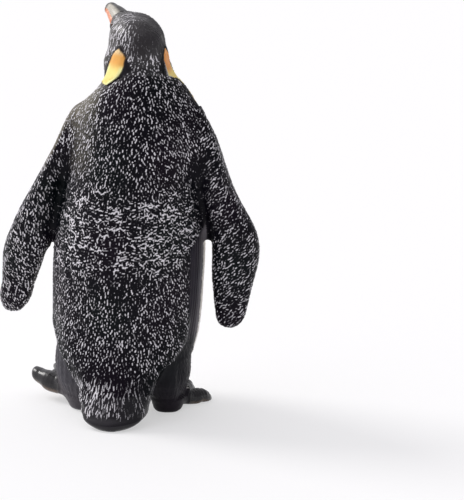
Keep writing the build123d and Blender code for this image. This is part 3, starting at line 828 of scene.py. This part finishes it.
# Beak
# An upper and a lower half in hard glossy vinyl, tenoned into the face.
# The upper is black with a painted highlight on the side that faces the lamp, and the lower is orange with a
# black tip.
BEAK_BLACK = tint(30, 28, 28)
BEAK_HIGHLIGHT_GREY = tint(192, 187, 174)
BEAK_ORANGE = tint(232, 150, 112)
BEAK_GRAIN = 0.14
BEAK_CLOSING = 0.02
BEAK_RELAXING = 4
BEAK_ROOT = np.array([1.5, -5.4, 66.0])
BEAK_AIM = np.array([0.505, -0.778, 0.375])
BEAK_LIT_SIDE = np.array([0.84, 0.54, 0.0])
BEAK_TIP_SWELL = 0.45
BEAK_SHORTENING = 0.24
LOWER_BEAK_SWELL = 0.4
beak_paint = painted_vinyl("horn_paint", 0.26, 0.1, 0.5, 0.08)
BEAK = [("upper_beak", BEAK_BLACK, "dark_horn"), ("lower_beak", BEAK_ORANGE, "orange_horn")]
for node, colour, slot in BEAK:
    mesh = divide(cast_skin([node], BEAK_GRAIN, BEAK_CLOSING, BEAK_RELAXING))
    mesh.name = node
    spots, outward = read_points(mesh), read_normals(mesh)
    # painted highlight: pale grey on the beak's side that faces the lamp
    beak_highlight = ease(outward @ BEAK_LIT_SIDE, 0.12, 0.5)
    reach = (spots - BEAK_ROOT) @ BEAK_AIM
    tip = ease(reach, 6.8, 7.8)
    swell = BEAK_TIP_SWELL * ease(reach, 6.0, 8.5) + (LOWER_BEAK_SWELL if node == "lower_beak" else 0.0)
    spots += outward * swell[:, None]
    spots -= np.outer(BEAK_SHORTENING * np.maximum(reach - 4.0, 0), BEAK_AIM)
    mesh.vertices.foreach_set("co", (spots * MM).astype(np.float32).ravel())
    mesh.update()
    colours = np.tile(colour, (len(spots), 1))
    if node == "upper_beak":
        colours = blend(colours, BEAK_HIGHLIGHT_GREY, beak_highlight * (1 - tip) * 0.9)
    else:
        colours = blend(colours, BEAK_BLACK, tip)
    piece = bpy.data.objects.new(node + "_skin", mesh)
    bpy.context.scene.collection.objects.link(piece)
    lay_paint(piece, colours)
    mesh.materials.append(beak_paint)
    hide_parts(node)
    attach(piece, "root")

# Eyes
# Two glossy beads pressed into round sockets in the head, flattened outside.
# Each is painted black, with a brown ring round its pupil.
EYE_BROWN = tint(84, 44, 22)
EYE_BLACK = tint(8, 7, 7)
EYE_FLATTENING = 0.5
HEAD_TURN = math.radians(33.0)
eye_paint = painted_vinyl("eye_gloss", 0.10, 0.02, 0.6, 0.05)
for node, side in (("left_eye", 1), ("right_eye", -1)):
    low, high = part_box(node)
    form = bmesh.new()
    bmesh.ops.create_uvsphere(form, u_segments=48, v_segments=32, radius=(high.x - low.x) / 2)
    outside = Vector((math.cos(HEAD_TURN), math.sin(HEAD_TURN), 0.0)) * side
    for vert in form.verts:
        lead = vert.co.dot(outside)
        if lead > 0:
            vert.co -= outside * lead * EYE_FLATTENING
    lookout = [vert.co.normalized().dot(outside) for vert in form.verts]
    bmesh.ops.translate(form, verts=form.verts, vec=(low + high) / 2)
    mesh = bpy.data.meshes.new(node)
    form.to_mesh(mesh)
    form.free()
    mesh.shade_smooth()
    piece = bpy.data.objects.new(node + "_bead", mesh)
    bpy.context.scene.collection.objects.link(piece)
    ring = ease(lookout, 0.55, 0.5) * ease(lookout, 0.2, 0.3)
    lay_paint(piece, blend(np.tile(EYE_BLACK, (len(mesh.vertices), 1)), EYE_BROWN, ring))
    mesh.materials.append(eye_paint)
    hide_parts(node)
    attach(piece, "root")

# Floor
# A plain pale table top that takes the bird's soft shadow.
# Half of what the camera sees of it is an even white, as in an overlit studio picture.
FLOOR_HALF_METRES = 3.0
FLOOR_WHITE = (0.96, 0.955, 0.97, 1.0)
FLOOR_OVERLIT = 0.5
form = bmesh.new()
bmesh.ops.create_grid(form, x_segments=1, y_segments=1, size=FLOOR_HALF_METRES)
mesh = bpy.data.meshes.new("floor")
form.to_mesh(mesh)
form.free()
floor = bpy.data.objects.new("floor", mesh)
bpy.context.scene.collection.objects.link(floor)
floor_paint = bpy.data.materials.new("pale_table")
floor_paint.use_nodes = True
nodes, links = floor_paint.node_tree.nodes, floor_paint.node_tree.links
nodes["Principled BSDF"].inputs["Base Color"].default_value = FLOOR_WHITE
nodes["Principled BSDF"].inputs["Roughness"].default_value = 0.9
ray = nodes.new("ShaderNodeLightPath")
straight = nodes.new("ShaderNodeMath")
straight.operation = "MAXIMUM"
links.new(ray.outputs["Is Camera Ray"], straight.inputs[0])
links.new(ray.outputs["Is Transmission Ray"], straight.inputs[1])
seen = nodes.new("ShaderNodeMath")
seen.operation = "MAXIMUM"
links.new(straight.outputs["Value"], seen.inputs[0])
links.new(ray.outputs["Is Glossy Ray"], seen.inputs[1])
share = nodes.new("ShaderNodeMath")
share.operation = "MULTIPLY"
share.inputs[1].default_value = FLOOR_OVERLIT
links.new(seen.outputs["Value"], share.inputs[0])
white = nodes.new("ShaderNodeEmission")
mixed = nodes.new("ShaderNodeMixShader")
links.new(share.outputs["Value"], mixed.inputs[0])
links.new(nodes["Principled BSDF"].outputs["BSDF"], mixed.inputs[1])
links.new(white.outputs["Emission"], mixed.inputs[2])
links.new(mixed.outputs["Shader"], nodes["Material Output"].inputs["Surface"])
floor.data.materials.append(floor_paint)

# Camera
# A long lens from behind and a little above, as in the photograph.
# It aims beside the bird, which stands at the left of the picture with its shadow on the right.
AZIMUTH = math.radians(188.0)
ELEVATION = math.radians(14.0)
DISTANCE = 500.0
AIM_RIGHT = 17.64
AIM_HEIGHT = 27.6
SENSOR_HEIGHT = 24.0
FOCAL_LENGTH = 141.12
right = Vector((math.cos(AZIMUTH), math.sin(AZIMUTH), 0.0))
away = Vector((
    math.sin(AZIMUTH) * math.cos(ELEVATION),
    -math.cos(AZIMUTH) * math.cos(ELEVATION),
    math.sin(ELEVATION),
))
upward = away.cross(right)
stand = (right * AIM_RIGHT + Vector((0.0, 0.0, AIM_HEIGHT)) + away * DISTANCE) * MM
lens = bpy.data.cameras.new("camera")
lens.sensor_fit = "VERTICAL"
lens.sensor_height = SENSOR_HEIGHT
lens.lens = FOCAL_LENGTH
camera = bpy.data.objects.new("camera", lens)
camera.matrix_world = Matrix((
    (right.x, upward.x, away.x, stand.x),
    (right.y, upward.y, away.y, stand.y),
    (right.z, upward.z, away.z, stand.z),
    (0.0, 0.0, 0.0, 1.0),
))
bpy.context.scene.collection.objects.link(camera)
bpy.context.scene.camera = camera

# Studio light
# One large soft lamp high on the bird's left and a little in front of it.
# The white surround is brighter on the lamp's side.
LAMP_STRENGTH = 1.55
LAMP_SPREAD = math.radians(22.0)
LAMP_AIM = Vector((-0.86, 0.34, -0.80))
SURROUND_BRIGHT_SIDE = (0.72, -0.22, 0.66)
SURROUND_STRENGTH = (0.42, 1.04)
lamp = bpy.data.lights.new("soft_lamp", "SUN")
lamp.energy = LAMP_STRENGTH
lamp.angle = LAMP_SPREAD
lamp.color = (1.0, 0.985, 0.96)
key = bpy.data.objects.new("soft_lamp", lamp)
key.rotation_mode = "QUATERNION"
key.rotation_quaternion = LAMP_AIM.to_track_quat("-Z", "Y")
bpy.context.scene.collection.objects.link(key)
world = bpy.data.worlds.new("surround")
bpy.context.scene.world = world
world.use_nodes = True
nodes, links = world.node_tree.nodes, world.node_tree.links
surround = nodes["Background"]
surround.inputs["Color"].default_value = (0.975, 0.96, 1.0, 1.0)
sky = nodes.new("ShaderNodeTexCoord")
facing_lamp = nodes.new("ShaderNodeVectorMath")
facing_lamp.operation = "DOT_PRODUCT"
facing_lamp.inputs[1].default_value = SURROUND_BRIGHT_SIDE
links.new(sky.outputs["Generated"], facing_lamp.inputs[0])
level = nodes.new("ShaderNodeMapRange")
level.interpolation_type = "SMOOTHSTEP"
level.inputs["From Min"].default_value = 0.0
level.inputs["From Max"].default_value = 0.95
level.inputs["To Min"].default_value = SURROUND_STRENGTH[0]
level.inputs["To Max"].default_value = SURROUND_STRENGTH[1]
links.new(facing_lamp.outputs["Value"], level.inputs["Value"])
links.new(level.outputs["Result"], surround.inputs["Strength"])
bpy.context.scene.view_settings.view_transform = "Standard"
